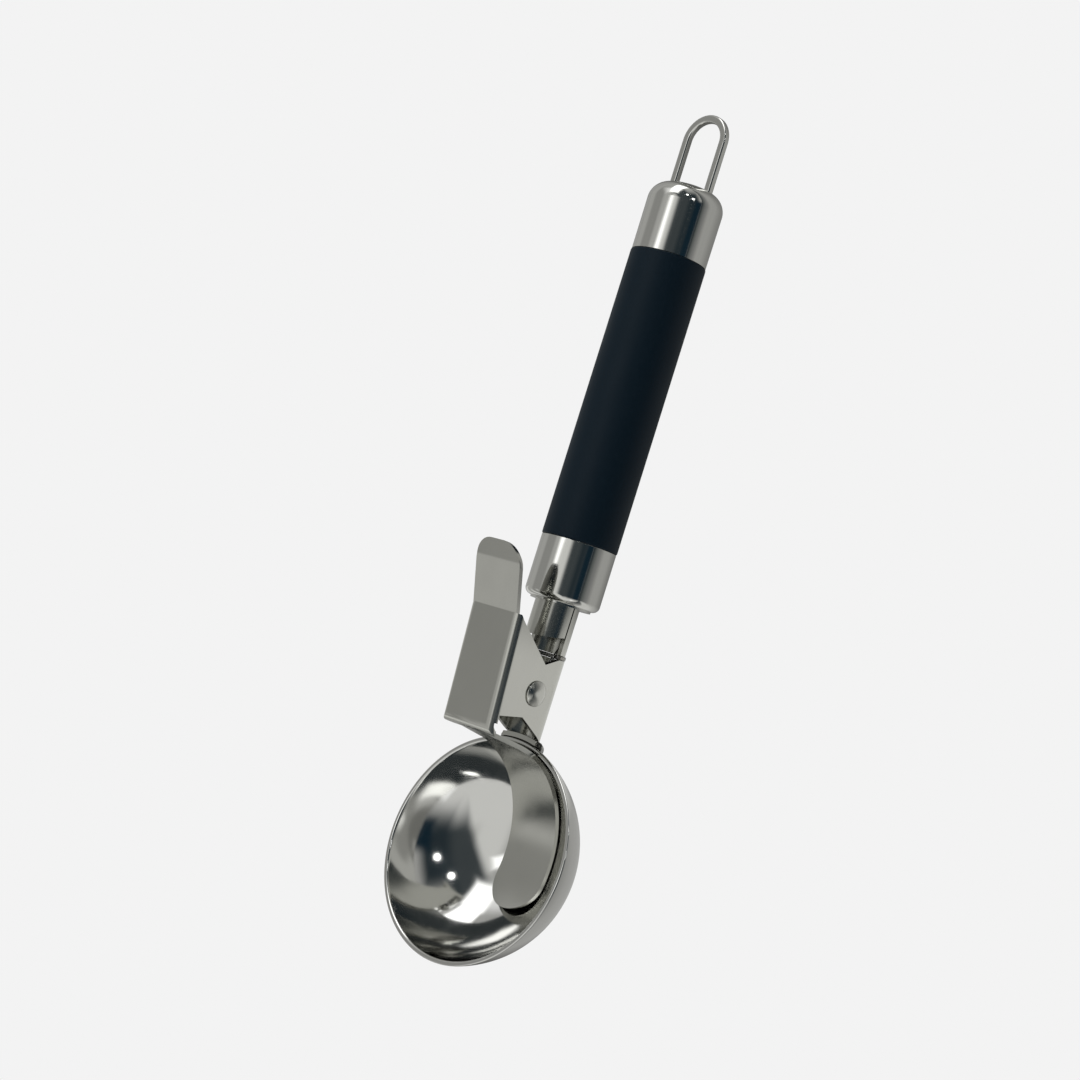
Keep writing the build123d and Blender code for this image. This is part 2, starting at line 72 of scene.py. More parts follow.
MM = 0.001                 # metres in a millimetre
BODY, LEVER = "body", "thumb_lever"
TOUCHING = 0.001           # millimetres within which two points are one
FLAT = radians(0.4)        # faces that turn by less than this are joined
SHARP = radians(35)        # edges that turn by more than this are rounded
BOWL_SIDES = 192           # facets round the bowl
BOWL_RINGS = 48            # facets from the bowl's bottom to its rim
HANDLE_SIDES = 128         # facets round the grip and the ferrule
RIVET_SIDES = 64           # facets round the rivet
DOME_RINGS = 16            # facets from the top of a rivet's dome to its edge
SHOULDER_CUTS = 8          # facets across the ferrule's round lower end
RIM_CUTS = 4               # facets across the bowl's rim and the grip's ends
BURR_CUTS = 2              # facets across any other rounded edge
WELD_CUTS = 2              # cuts into each edge of a bead before it is rippled
PATTERN_LOW = 0.3          # at or below this, a pattern makes its finish as smooth as it gets
PATTERN_HIGH = 0.7         # at or above this, as rough
PIVOT = Vector(next(j for j in frame["joints"] if j["name"] == "lever_pivot")["pos_m"])
ALONG = Vector(next(m for m in frame["record"]["mounts"] if m["name"] == "handle")["axis"])


# --- frames -------------------------------------------------------------------------------------
def handle_frame():
    """Matrix from the handle's own frame, in millimetres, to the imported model's, in metres."""
    low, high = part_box("grip_sleeve")
    middle = (low + high) / 2
    place = middle - ALONG * (middle - PIVOT).dot(ALONG)
    across = Vector((0, 1, 0))
    turn = Matrix((ALONG, across, ALONG.cross(across))).transposed().to_4x4()
    return Matrix.Translation(place) @ turn @ Matrix.Scale(MM, 4)


HANDLE = handle_frame()


def boxed(node, own_frame=HANDLE):
    """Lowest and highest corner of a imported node, seen in a frame of its own."""
    into = own_frame.inverted()
    points = [into @ vertex.co for vertex in frame["nodes"][node].data.vertices]
    low = Vector([min(point[axis] for point in points) for axis in range(3)])
    high = Vector([max(point[axis] for point in points) for axis in range(3)])
    return low, high


def mouth_frame(tilt):
    """Matrix from a frame with its origin in the middle of the bowl's mouth, z out of the mouth."""
    turned = HANDLE @ Matrix.Rotation(tilt, 4, "Y")
    low, high = boxed("bowl", turned)
    return turned @ Matrix.Translation(((low.x + high.x) / 2, 0, high.z))


# --- settings -----------------------------------------------------------------------------------
def length(name, description, millimetres):
    """A length that a user may change, given in millimetres and kept in metres."""
    return bpy.props.FloatProperty(
        name=name, description=description, default=millimetres * MM, min=0.0, unit="LENGTH",
        precision=5)


def linear(hex_colour):
    """Linear red, green, blue and alpha of an sRGB hex colour."""
    channels = [int(hex_colour[i:i + 2], 16) / 255 for i in (1, 3, 5)]
    return tuple(c / 12.92 if c <= 0.04045 else ((c + 0.055) / 1.055)**2.4 for c in channels) + (1.0,)


def colour(name, description, hex_colour):
    """A colour, given as sRGB hex."""
    return bpy.props.FloatVectorProperty(
        name=name, description=description, default=linear(hex_colour), size=4, min=0.0, max=1.0,
        subtype="COLOR")


class SCOOP_PG_sizes(bpy.types.PropertyGroup):
    """Sizes of the pieces that are modelled here."""
    mouth_tilt: bpy.props.FloatProperty(
        name="Mouth tilt", description="The bowl's mouth leans this far towards the handle",
        default=radians(7), subtype="ANGLE")
    bowl_wall: length("Bowl wall", "Thickness of the pressed bowl", 1.2)
    rim_round: length("Rim round", "Radius on both edges of the rim", 0.42)
    ferrule_wall: length("Ferrule wall", "Thickness of the lower ferrule", 0.9)
    ferrule_round: length("Ferrule round", "Radius on the ferrule's lower end", 1.8)
    burr: length("Broken edge", "Radius on the other edges of the ferrule and the rivet", 0.15)
    grip_round: length("Grip round", "Radius on the ends of the rubber sleeve", 0.4)
    sheet_round: length("Sheet round", "Radius on the edges of the sheet pieces and the spring", 0.13)
    head_skirt: length("Rivet skirt", "Straight part of a rivet head below its dome", 0.3)
    head_play: length("Rivet play", "Gap between a rivet head and the lever", 0.1)
    spacer_wall: length("Spacer wall", "Thickness of the tube on the rivet", 0.8)
    spacer_fit: length("Spacer fit", "Gap between the rivet and the tube on it", 0.02)
    weld_ripple: length("Weld ripple", "Height of the ripples on the beads of weld", 0.1)
    weld_pitch: length("Weld pitch", "Distance from ripple to ripple", 1.1)
    spring_wire: length("Spring wire", "Diameter of the return spring's wire", 0.9)


class SCOOP_PG_finishes(bpy.types.PropertyGroup):
    """Colours of the finishes."""
    polished: colour("Polished steel", "Bowl", "#cfcfcc")
    satin: colour("Satin steel", "Lever, bracket, tubes, washers and rivet", "#c4c4be")
    bright: colour("Bright steel", "Collar, ferrule, cap and loop", "#d0d0cc")
    rubber: colour("Rubber", "Grip sleeve", "#001a28")
    weld: colour("Weld", "Straw tint on the beads of weld", "#a29d92")
    weld_blue: colour("Weld, blued", "Blue tint on the beads of weld", "#8b9096")
    wire: colour("Spring wire", "Return spring, cross pin and spacer", "#a9a9a6")
    casting: colour("Casting", "Plugs inside the handle", "#8c8d8e")
    floor: colour("Floor", "Table under the scoop", "#f3f3f3")


class SCOOP_PG_stage(bpy.types.PropertyGroup):
    """Camera and floor."""
    lens: bpy.props.FloatProperty(
        name="Lens", description="Focal length", default=73.333, min=1.0, unit="CAMERA")
    sensor: bpy.props.FloatProperty(
        name="Sensor", description="Width of the sensor", default=36.0, min=1.0, unit="CAMERA")
    nearest: length("Nearest", "Distance from which the camera sees", 10)
    camera_place: bpy.props.FloatVectorProperty(
        name="Camera place", description="Where the camera stands", size=3, unit="LENGTH",
        default=(-12.713 * MM, -378.795 * MM, 430.752 * MM))
    camera_turn: bpy.props.FloatVectorProperty(
        name="Camera turn", description="Turn about x, then y, then z", size=3, subtype="EULER",
        default=(radians(14.5466), radians(41.3575), radians(-69.808)))
    floor_side: length("Floor side", "Length of the square floor", 12000)


# --- nodes --------------------------------------------------------------------------------------
def add(tree, kind, settings=None, **inputs):
    """Adds a node with its settings, and sets or links its inputs; _1 is the input of that number."""
    node = tree.nodes.new(kind)
    for name, value in (settings or {}).items():
        setattr(node, name, value)
    for name, value in inputs.items():
        key = int(name[1:]) if name[0] == "_" and name[1:].isdigit() else name.replace("_", " ")
        socket = node.inputs[key]
        if isinstance(value, bpy.types.NodeSocket):
            tree.links.new(value, socket)
        else:
            socket.default_value = value
    return node


def new_material(name):
    """An empty material with its node tree."""
    made = bpy.data.materials.new(name)
    made.use_nodes = True
    made.node_tree.nodes.clear()
    return made, made.node_tree


def pattern_space(tree, own_frame, cell):
    """Object coordinates in a piece's own frame, counted in cells of that many millimetres."""
    place, turn = own_frame.decompose()[:2]
    where = add(tree, "ShaderNodeTexCoord").outputs["Object"]
    return add(tree, "ShaderNodeMapping", {"vector_type": "TEXTURE"}, Vector=where, Location=place,
               Rotation=turn.to_euler(), Scale=Vector(cell) * MM).outputs["Vector"]


def pattern(tree, own_frame, cell, detail):
    """Soft pattern in a piece's own frame, with one lump to a cell of that many millimetres."""
    return add(tree, "ShaderNodeTexNoise", Vector=pattern_space(tree, own_frame, cell), Scale=1.0,
               Detail=detail).outputs["Fac"]


def shades(lighter, share):
    """A colour's dark shade, with that share of its light, and the colour itself."""
    return tuple(channel * share for channel in lighter[:3]) + (1.0,), tuple(lighter)


def surface(tree, tone, colours, gloss, rough, **inputs):
    """Ends a material: one pattern runs between two colours, and another between two roughnesses."""
    base = add(tree, "ShaderNodeMix", {"data_type": "RGBA"}, _0=tone, _6=colours[0], _7=colours[1])
    roughness = add(tree, "ShaderNodeMapRange", Value=gloss, From_Min=PATTERN_LOW,
                    From_Max=PATTERN_HIGH, To_Min=rough[0], To_Max=rough[1])
    shader = add(tree, "ShaderNodeBsdfPrincipled", Base_Color=base.outputs[2],
                 Roughness=roughness.outputs["Result"], **inputs)
    add(tree, "ShaderNodeOutputMaterial", Surface=shader.outputs["BSDF"])


# --- finishes -----------------------------------------------------------------------------------
def brushed_stainless_sheet(settings):
    """Cold-rolled stainless sheet, brushed lengthwise: a fine grain that blurs the room to greys."""
    made, tree = new_material("brushed_stainless_sheet")
    # Real brush marks are 0.05 mm wide; these are 0.25 mm, the finest that still shows, and 0.6 mm
    # up the sides, so that they run on over the faces that slope. Clouds are drawn 5 to 7 mm wide.
    grain = pattern(tree, HANDLE, (9, 0.25, 0.6), 3.0)
    cloud = pattern(tree, HANDLE, (7, 5, 5), 2.0)
    bump = add(tree, "ShaderNodeBump", Strength=1.0, Distance=0.0006 * MM, Height=grain)
    surface(tree, grain, shades(settings.satin, 0.95), cloud, (0.17, 0.21), Metallic=1.0,
            Normal=bump.outputs[0])
    return made


def tumbled_stainless(settings):
    """Cold-headed stainless rivet, tumbled: an even satin that melts the room to soft spots."""
    made, tree = new_material("tumbled_stainless")
    # Tumbling marks are 0.1 mm across; these are 0.25 mm, the finest that still shows.
    dents = pattern(tree, HANDLE, (0.25, 0.25, 0.25), 2.0)
    bump = add(tree, "ShaderNodeBump", Strength=1.0, Distance=0.002 * MM, Height=dents)
    surface(tree, dents, shades(settings.satin, 0.93), dents, (0.19, 0.26), Metallic=1.0,
            Normal=bump.outputs[0])
    return made


def polished_stainless_pressing(settings, mouth):
    """Pressed stainless steel, polished on a mop: a mirror with faint waves and polishing rings."""
    made, tree = new_material("polished_stainless_pressing")
    # Waves of the press are drawn 9 mm wide, and smears of the mop 4 by 14 mm.
    waves = pattern(tree, mouth, (9, 9, 9), 1.0)
    smears = pattern(tree, mouth, (14, 4, 4), 3.0)
    # Real polishing rings are far too fine to show; these lie 0.3 mm apart round the mouth's axis.
    parts = add(tree, "ShaderNodeSeparateXYZ", Vector=pattern_space(tree, mouth, (0.3, 0.3, 0.3)))
    flat = add(tree, "ShaderNodeCombineXYZ", X=parts.outputs["X"], Y=parts.outputs["Y"])
    out = add(tree, "ShaderNodeVectorMath", {"operation": "LENGTH"}, _0=flat.outputs[0])
    rings = add(tree, "ShaderNodeTexNoise", {"noise_dimensions": "1D"}, W=out.outputs["Value"],
                Scale=1.0, Detail=2.0)
    wavy = add(tree, "ShaderNodeBump", Strength=1.0, Distance=0.05 * MM, Height=waves)
    ringed = add(tree, "ShaderNodeBump", Strength=1.0, Distance=0.0003 * MM,
                 Height=rings.outputs["Fac"], Normal=wavy.outputs[0])
    surface(tree, smears, shades(settings.polished, 0.96), smears, (0.06, 0.12), Metallic=1.0,
            Normal=ringed.outputs[0])
    return made


def bright_drawn_stainless(settings):
    """Drawn stainless tube, polished in the lathe: crisp streaks lengthwise, faint rings round it."""
    made, tree = new_material("bright_drawn_stainless")
    # Lathe rings lie 0.25 mm apart along the handle, a little coarser than real ones. Streaks of the
    # drawing are 0.8 mm wide, and waves 5 mm.
    rings = pattern(tree, HANDLE, (0.25, 30, 30), 2.0)
    streaks = pattern(tree, HANDLE, (40, 0.8, 0.8), 2.0)
    waves = pattern(tree, HANDLE, (30, 5, 5), 1.0)
    wavy = add(tree, "ShaderNodeBump", Strength=1.0, Distance=0.012 * MM, Height=waves)
    ringed = add(tree, "ShaderNodeBump", Strength=1.0, Distance=0.0003 * MM, Height=rings,
                 Normal=wavy.outputs[0])
    surface(tree, streaks, shades(settings.bright, 0.95), streaks, (0.07, 0.13), Metallic=1.0,
            Normal=ringed.outputs[0])
    return made


def moulded_silicone_rubber(settings):
    """Moulded silicone rubber, dark navy: a dry, fine-pored skin with hardly any gloss."""
    made, tree = new_material("moulded_silicone_rubber")
    # The mould's spark-eroded grain is 0.1 mm; this one is 0.3 mm, the finest that still shows. Clouds
    # are drawn 6 by 16 mm.
    pores = pattern(tree, HANDLE, (0.3, 0.3, 0.3), 2.0)
    cloud = pattern(tree, HANDLE, (16, 6, 6), 2.0)
    bump = add(tree, "ShaderNodeBump", Strength=0.6, Distance=0.02 * MM, Height=pores)
    surface(tree, pores, shades(settings.rubber, 0.75), cloud, (0.5, 0.58), Specular_IOR_Level=0.19,
            Normal=bump.outputs[0])
    return made


def tig_weld_steel(settings):
    """Bead of weld, wire-brushed: dull, rippled steel with a trace of straw and blue heat tint."""
    made, tree = new_material("tig_weld_steel")
    tint = pattern(tree, HANDLE, (2.5, 2.5, 2.5), 1.0)
    # Pits under a wire brush are about 0.1 mm; these are 0.3 mm, the finest that still shows. The
    # tint changes every 2.5 mm.
    pits = pattern(tree, HANDLE, (0.3, 0.3, 0.3), 3.0)
    bump = add(tree, "ShaderNodeBump", Strength=0.8, Distance=0.03 * MM, Height=pits)
    surface(tree, tint, (tuple(settings.weld), tuple(settings.weld_blue)), pits, (0.3, 0.45),
            Metallic=1.0, Normal=bump.outputs[0])
    return made


def drawn_spring_wire(settings):
    """Hard-drawn spring wire: smooth grey steel with fine die lines."""
    made, tree = new_material("drawn_spring_wire")
    # Real die lines lie about 0.05 mm apart; these lie 0.2 mm apart, and only show from near by.
    lines = pattern(tree, HANDLE, (0.2, 1.5, 0.2), 2.0)
    bump = add(tree, "ShaderNodeBump", Strength=0.6, Distance=0.002 * MM, Height=lines)
    surface(tree, lines, shades(settings.wire, 0.9), lines, (0.2, 0.3), Metallic=1.0,
            Normal=bump.outputs[0])
    return made


def cast_zinc(settings):
    """Die-cast zinc of the hidden plugs: dull grey with the die's grain."""
    made, tree = new_material("cast_zinc")
    # Real grain is about 0.1 mm; this one is 0.4 mm, and shows where a plug is seen by itself.
    grit = pattern(tree, HANDLE, (0.4, 0.4, 0.4), 3.0)
    bump = add(tree, "ShaderNodeBump", Strength=0.7, Distance=0.02 * MM, Height=grit)
    surface(tree, grit, shades(settings.casting, 0.85), grit, (0.45, 0.6), Metallic=1.0,
            Normal=bump.outputs[0])
    return made


# --- shapes -------------------------------------------------------------------------------------
def lathed(corners):
    """Solid of revolution about x, from the corners (along, radius) of its closed half section."""
    bm = bmesh.new()
    points = [bm.verts.new((along, radius, 0)) for along, radius in corners]
    sides = [bm.edges.new(ends) for ends in zip(points, points[1:] + points[:1])]
    spun(bm, points + sides, HANDLE_SIDES)
    return bm


def spun(bm, geometry, steps, axis=(1, 0, 0)):
    """Spins a section once round an axis through the origin and closes its seam and poles."""
    bmesh.ops.spin(bm, geom=geometry, cent=(0, 0, 0), axis=axis, angle=2 * pi, steps=steps,
                   use_merge=True)
    bmesh.ops.remove_doubles(bm, verts=bm.verts, dist=TOUCHING)
    bmesh.ops.recalc_face_normals(bm, faces=bm.faces)


def rounded(bm, edges, radius, cuts, clamped=False):
    """Rounds edges to a radius, with that many facets across it; clamped, it gives way where narrow."""
    bmesh.ops.bevel(bm, geom=edges, offset=radius, offset_type="OFFSET", affect="EDGES", segments=cuts,
                    profile=0.5, material=-1, clamp_overlap=clamped)


def rounded_ring(bm, along, radius, offset, cuts):
    """Rounds the circle of a turned solid that lies at a place along its x axis."""
    ring = [edge for edge in bm.edges if all(
        abs(v.co.x - along) < TOUCHING and abs(hypot(v.co.y, v.co.z) - radius) < TOUCHING
        for v in edge.verts)]
    rounded(bm, ring, offset, cuts)


def merged_copy(node):
    """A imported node's mesh in the handle's frame, with its loose triangles joined."""
    bm = bmesh.new()
    bm.from_mesh(frame["nodes"][node].data)
    bmesh.ops.transform(bm, matrix=HANDLE.inverted(), verts=bm.verts)
    bmesh.ops.remove_doubles(bm, verts=bm.verts, dist=TOUCHING)
    return bm


def broken_edges(bm, offset):
    """Joins level triangles to whole faces and rounds every sharp edge."""
    bmesh.ops.dissolve_limit(bm, angle_limit=FLAT, verts=bm.verts, edges=bm.edges)
    sharp = [edge for edge in bm.edges if edge.is_manifold and edge.calc_face_angle() > SHARP]
    rounded(bm, sharp, offset, BURR_CUTS, clamped=True)


def finished(name, bm, body, node, own_frame=HANDLE):
    """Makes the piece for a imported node, in the node's finish and slot; it rides on a body, if any."""
    bmesh.ops.transform(bm, matrix=own_frame, verts=bm.verts)
    mesh = bpy.data.meshes.new(name)
    bm.to_mesh(mesh)
    bm.free()
    mesh.shade_smooth()
    mesh.materials.append(frame["nodes"][node].material_slots[0].material)
    piece = bpy.data.objects.new(name, mesh)
    bpy.context.scene.collection.objects.link(piece)
    weighted = piece.modifiers.new("weighted", "WEIGHTED_NORMAL")
    weighted.mode = "FACE_AREA"
    weighted.weight = 100   # the largest faces count for most
    if body:
        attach(piece, body)
    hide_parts(node)
    return piece


def slot_of(node):
    """The record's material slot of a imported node."""
    return next(e["material_slot"] for e in frame["record"]["subparts"] if e["node"] == node)


# --- room ---------------------------------------------------------------------------------------
# A rectangle of light or dark, as the scoop sees it. Its middle lies at an azimuth, 0 at +Y and 90 at
# +X, and an elevation; wide and high are half its size, and turn leans it. These five are degrees. Its
# light fades over a share, soft, of half its size, on either side of its edge.
Patch = namedtuple("Patch", "azimuth elevation wide high turn soft colour strength")
ROOM_BASE = "#b9b9b7"
PATCHES = (   # a later one covers the earlier
    Patch(-10, 62, 80, 22, 0, 0.5, "#c0c0be", 1.0),      # ceiling, towards +Y
    Patch(-170, 78, 60, 16, 0, 0.4, "#eaeae8", 1.0),     # ceiling, towards -Y
    Patch(-115, 38, 42, 27, 0, 0.3, "#ebebe9", 1.0),     # large soft box, towards -X
    Patch(-140, 15, 8, 3.5, 0, 0.5, "#ffffff", 1.3),     # gleam at the foot of that soft box
    Patch(-5, 39, 45, 17, -9, 0.3, "#9f9f9d", 1.0),      # grey backdrop, towards +Y
    Patch(-28, 39, 8, 6, 0, 0.6, "#cececc", 1.0),        # paler spot on the backdrop
    Patch(-55, 3, 26, 9, 0, 0.5, "#f2f2f0", 1.0),        # pale foot of the walls, between -X and +Y
    Patch(138, 50, 44, 18, 0, 0.3, "#454b4e", 1.0),      # dark wall, upper part, between +X and -Y
    Patch(152, 24, 38, 15, 0, 0.5, "#2c363c", 1.0),      # dark wall, lower part
    Patch(173, 9, 15, 10, 0, 0.4, "#172a36", 1.0),       # navy cloth at the foot of the dark wall
    Patch(79, 20, 10, 20, 0, 0.2, "#ffffff", 2.6),       # window, towards +X
    Patch(68, 42, 16, 13, 0, 0.6, "#ffffff", 1.05),      # glow beside the small soft box
    Patch(80, 40, 11, 12, 0, 0.4, "#ffffff", 2.6),       # small soft box over the window
    Patch(58, 77, 9, 5, 0, 0.6, "#ffffff", 2.0),         # strip light overhead
)
LAMPS = ((125.5, 34.5), (150.5, 25.5))   # azimuth and elevation of each
LAMP_RADIUS = 3.1          # degrees
LAMP_STRENGTH = 7.0
LAMP_CORE = 0.6            # radii from its middle to where a lamp starts to fade
LAMP_HALO = 1.3            # radii from its middle to where it ends


def facing(azimuth, elevation):
    """Unit vector towards an azimuth and an elevation."""
    return Vector((sin(radians(azimuth)) * cos(radians(elevation)),
                   cos(radians(azimuth)) * cos(radians(elevation)), sin(radians(elevation))))


def patch_mask(tree, seen, patch):
    """1 on a patch of the room and 0 off it."""
    towards = Matrix.Rotation(radians(90 - patch.azimuth), 3, "Z") @ Matrix.Rotation(
        radians(-patch.elevation), 3, "Y") @ Matrix.Rotation(radians(patch.turn), 3, "X")
    local = add(tree, "ShaderNodeMapping", {"vector_type": "TEXTURE"}, Vector=seen,
                Rotation=towards.to_euler(),
                Scale=(1, sin(radians(patch.wide)), sin(radians(patch.high))))
    parts = add(tree, "ShaderNodeSeparateXYZ", Vector=local.outputs["Vector"])
    across, up = [
        add(tree, "ShaderNodeMath", {"operation": "ABSOLUTE"}, _0=parts.outputs[axis]).outputs[0]
        for axis in "YZ"
    ]
    far = add(tree, "ShaderNodeMath", {"operation": "MAXIMUM"}, _0=across, _1=up).outputs[0]
    edge = add(tree, "ShaderNodeMapRange", {"interpolation_type": "SMOOTHSTEP"}, Value=far,
               From_Min=1 + patch.soft, From_Max=1 - patch.soft).outputs["Result"]
    front = add(tree, "ShaderNodeMath", {"operation": "GREATER_THAN"}, _0=parts.outputs["X"], _1=0.0)
    return add(tree, "ShaderNodeMath", {"operation": "MULTIPLY"}, _0=edge,
               _1=front.outputs[0]).outputs[0]


def lamp_mask(tree, seen, azimuth, elevation):
    """1 on a round lamp of the room and 0 off it."""
    near = add(tree, "ShaderNodeVectorMath", {"operation": "DOT_PRODUCT"}, _0=seen,
               _1=facing(azimuth, elevation)).outputs["Value"]
    return add(tree, "ShaderNodeMapRange", {"interpolation_type": "SMOOTHSTEP"}, Value=near,
               From_Min=cos(radians(LAMP_RADIUS * LAMP_HALO)),
               From_Max=cos(radians(LAMP_RADIUS * LAMP_CORE))).outputs["Result"]


def lit(hex_colour, strength):
    """A hex colour as light of a given strength."""
    return tuple(channel * strength for channel in linear(hex_colour)[:3]) + (1.0,)


def plain_to_camera(tree, painted, settings):
    """A colour that reflections show as it is painted and the camera sees as the plain floor."""
    path = add(tree, "ShaderNodeLightPath")
    return add(tree, "ShaderNodeMix", {"data_type": "RGBA"}, _0=path.outputs["Is Camera Ray"],
               _6=painted, _7=tuple(settings.floor)).outputs[2]


def room(settings):
    """The studio round the scoop: soft boxes, pale walls, a dark camera side and two lamps."""
    made = bpy.data.worlds.new("room")
    made.use_nodes = True
    tree = made.node_tree
    tree.nodes.clear()
    seen = add(tree, "ShaderNodeTexCoord").outputs["Generated"]
    painted = linear(ROOM_BASE)
    layers = [(patch_mask(tree, seen, patch), lit(patch.colour, patch.strength)) for patch in PATCHES]
    layers += [(lamp_mask(tree, seen, *lamp), lit("#ffffff", LAMP_STRENGTH)) for lamp in LAMPS]
    for mask, light in layers:
        painted = add(tree, "ShaderNodeMix", {"data_type": "RGBA"}, _0=mask, _6=painted,
                      _7=light).outputs[2]
    light = add(tree, "ShaderNodeBackground", Color=plain_to_camera(tree, painted, settings))
    add(tree, "ShaderNodeOutputWorld", Surface=light.outputs["Background"])
    return made


# Grey that the floor glows with where only a reflection shows it, by its place along y in metres: painted light
# that fades into painted shade far out on the camera's side, and a painted shadow under the scoop from -0.008 to
# 0.02.
FLOOR_FADE_AND_PAINTED_SHADOW = ((-0.4, "#2c3438"), (-0.2, "#484e50"), (-0.087, "#707372"), (-0.045, "#909090"),
              (-0.036, "#a2a2a0"), (-0.028, "#b4b4b2"), (-0.016, "#b2b2b0"), (-0.008, "#90908e"),
              (0.0, "#6e6e6c"), (0.02, "#6e6e6c"), (0.05, "#b0b0ae"))
# Band of painted light that crosses the floor under the neck and the pivot, for the lever's cheek to reflect, and
# ends on the camera's side: each edge's axis, and where it starts and is full, in metres.
PAINTED_LIGHT_BAND_COLOUR = "#e0e0de"
PAINTED_LIGHT_BAND_EDGES = (("X", -0.018, -0.034), ("X", -0.064, -0.054), ("Y", -0.2, -0.07))


def floor_glow_and_painted_shadow(settings):
    """Pale floor, plain to the camera; reflections see it glow with painted light that falls off into painted
    shade on the camera's side, with a painted shadow under the scoop and a band of painted light.
    """
    made, tree = new_material("floor_glow_and_painted_shadow")
    parts = add(tree, "ShaderNodeSeparateXYZ", Vector=add(tree, "ShaderNodeTexCoord").outputs["Object"])
    places, painted_greys = zip(*FLOOR_FADE_AND_PAINTED_SHADOW)
    first, last = places[0], places[-1]
    side = add(tree, "ShaderNodeMapRange", Value=parts.outputs["Y"], From_Min=first, From_Max=last)
    # The ramp holds the floor's painted light, painted shade and painted shadow under the scoop.
    ramp = add(tree, "ShaderNodeValToRGB", Fac=side.outputs["Result"])
    shares = [(place - first) / (last - first) for place in places]
    for share in shares[1:-1]:
        ramp.color_ramp.elements.new(share)
    for element, share, grey in zip(ramp.color_ramp.elements, shares, painted_greys):
        element.position = share
        element.color = linear(grey)
    # The band of painted light: 1 across its middle, fading to 0 past its edges.
    light_band = 1.0
    for axis, start, full in PAINTED_LIGHT_BAND_EDGES:
        edge = add(tree, "ShaderNodeMapRange", Value=parts.outputs[axis], From_Min=start, From_Max=full)
        light_band = add(tree, "ShaderNodeMath", {"operation": "MULTIPLY"}, _0=light_band,
                   _1=edge.outputs["Result"]).outputs[0]
    # The band of painted light is laid over the floor's painted light, shade and shadow.
    painted_floor_light = add(tree, "ShaderNodeMix", {"data_type": "RGBA"}, _0=light_band, _6=ramp.outputs["Color"],
                _7=linear(PAINTED_LIGHT_BAND_COLOUR)).outputs[2]
    glow = add(tree, "ShaderNodeEmission", Color=plain_to_camera(tree, painted_floor_light, settings))
    add(tree, "ShaderNodeOutputMaterial", Surface=glow.outputs["Emission"])
    return made


# --- operators ----------------------------------------------------------------------------------
class SCOOP_OT_finishes(bpy.types.Operator):
    """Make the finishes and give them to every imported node"""
    bl_idname = "scoop.finishes"
    bl_label = "Finishes"

    def execute(self, context):
        finishes, sizes = context.scene.scoop_finishes, context.scene.scoop_sizes
        made = {
            "polished_steel": polished_stainless_pressing(finishes, mouth_frame(sizes.mouth_tilt)),
            "satin_steel": brushed_stainless_sheet(finishes),
            "ferrule_steel": bright_drawn_stainless(finishes),
            "weld_steel": tig_weld_steel(finishes),
            "spring_steel": drawn_spring_wire(finishes),
            "grip_rubber": moulded_silicone_rubber(finishes),
            "plug_metal": cast_zinc(finishes),
        }
        for name, node in frame["nodes"].items():
            node.material_slots[0].material = made[slot_of(name)]
        frame["nodes"]["pivot_pin"].material_slots[0].material = tumbled_stainless(finishes)
        return {"FINISHED"}


class SCOOP_OT_bowl(bpy.types.Operator):
    """Spin the pressed bowl from its section and round its rim"""
    bl_idname = "scoop.bowl"
    bl_label = "Bowl"

    def execute(self, context):
        sizes = context.scene.scoop_sizes
        mouth = mouth_frame(sizes.mouth_tilt)
        low, high = boxed("bowl", mouth)
        radius, depth, wall = high.x, -low.z, sizes.bowl_wall / MM
        ball = (radius**2 + depth**2) / (2 * depth)
        lift = ball - depth
        bm = bmesh.new()
        rims = []
        for ball_radius in (ball, ball - wall):
            bottom = bm.verts.new((0, 0, lift - ball_radius))
            arc = bmesh.ops.spin(bm, geom=[bottom], cent=(0, 0, lift), axis=(0, 1, 0),
                                 angle=acos(lift / ball_radius), steps=BOWL_RINGS)
            rims.append(next(v for v in arc["geom_last"] if isinstance(v, bmesh.types.BMVert)))
        bm.edges.new(rims)
        spun(bm, bm.verts[:] + bm.edges[:], BOWL_SIDES, axis=(0, 0, 1))
        rim = [edge for edge in bm.edges if all(abs(v.co.z) < TOUCHING for v in edge.verts)
               and abs(edge.verts[0].co.length - edge.verts[1].co.length) < TOUCHING]
        rounded(bm, rim, sizes.rim_round / MM, RIM_CUTS)
        finished("bowl_pressing", bm, BODY, "bowl", mouth)
        return {"FINISHED"}


class SCOOP_OT_handle(bpy.types.Operator):
    """Turn the rubber sleeve and the lower ferrule"""
    bl_idname = "scoop.handle"
    bl_label = "Grip and ferrule"

    def execute(self, context):
        sizes = context.scene.scoop_sizes
        low, high = boxed("grip_sleeve")
        bore = boxed("handle_tube")[1].y
        grip = lathed([(low.x, bore), (low.x, high.y), (high.x, high.y), (high.x, bore)])
        for along in (low.x, high.x):
            rounded_ring(grip, along, high.y, sizes.grip_round / MM, RIM_CUTS)
        finished("grip_rubber_sleeve", grip, BODY, "grip_sleeve")
        low, high = boxed("lower_ferrule")
        wall, opening, burr = sizes.ferrule_wall / MM, boxed("neck_collar")[1].y, sizes.burr / MM
        ferrule = lathed([(low.x, opening), (low.x, high.y), (high.x, high.y), (high.x, high.y - wall),
                          (low.x + wall, high.y - wall), (low.x + wall, opening)])
        rounded_ring(ferrule, low.x, high.y, sizes.ferrule_round / MM, SHOULDER_CUTS)
        rounded_ring(ferrule, high.x, high.y, burr, BURR_CUTS)
        rounded_ring(ferrule, low.x, opening, burr, BURR_CUTS)
        finished("lower_ferrule_cup", ferrule, BODY, "lower_ferrule")
        return {"FINISHED"}


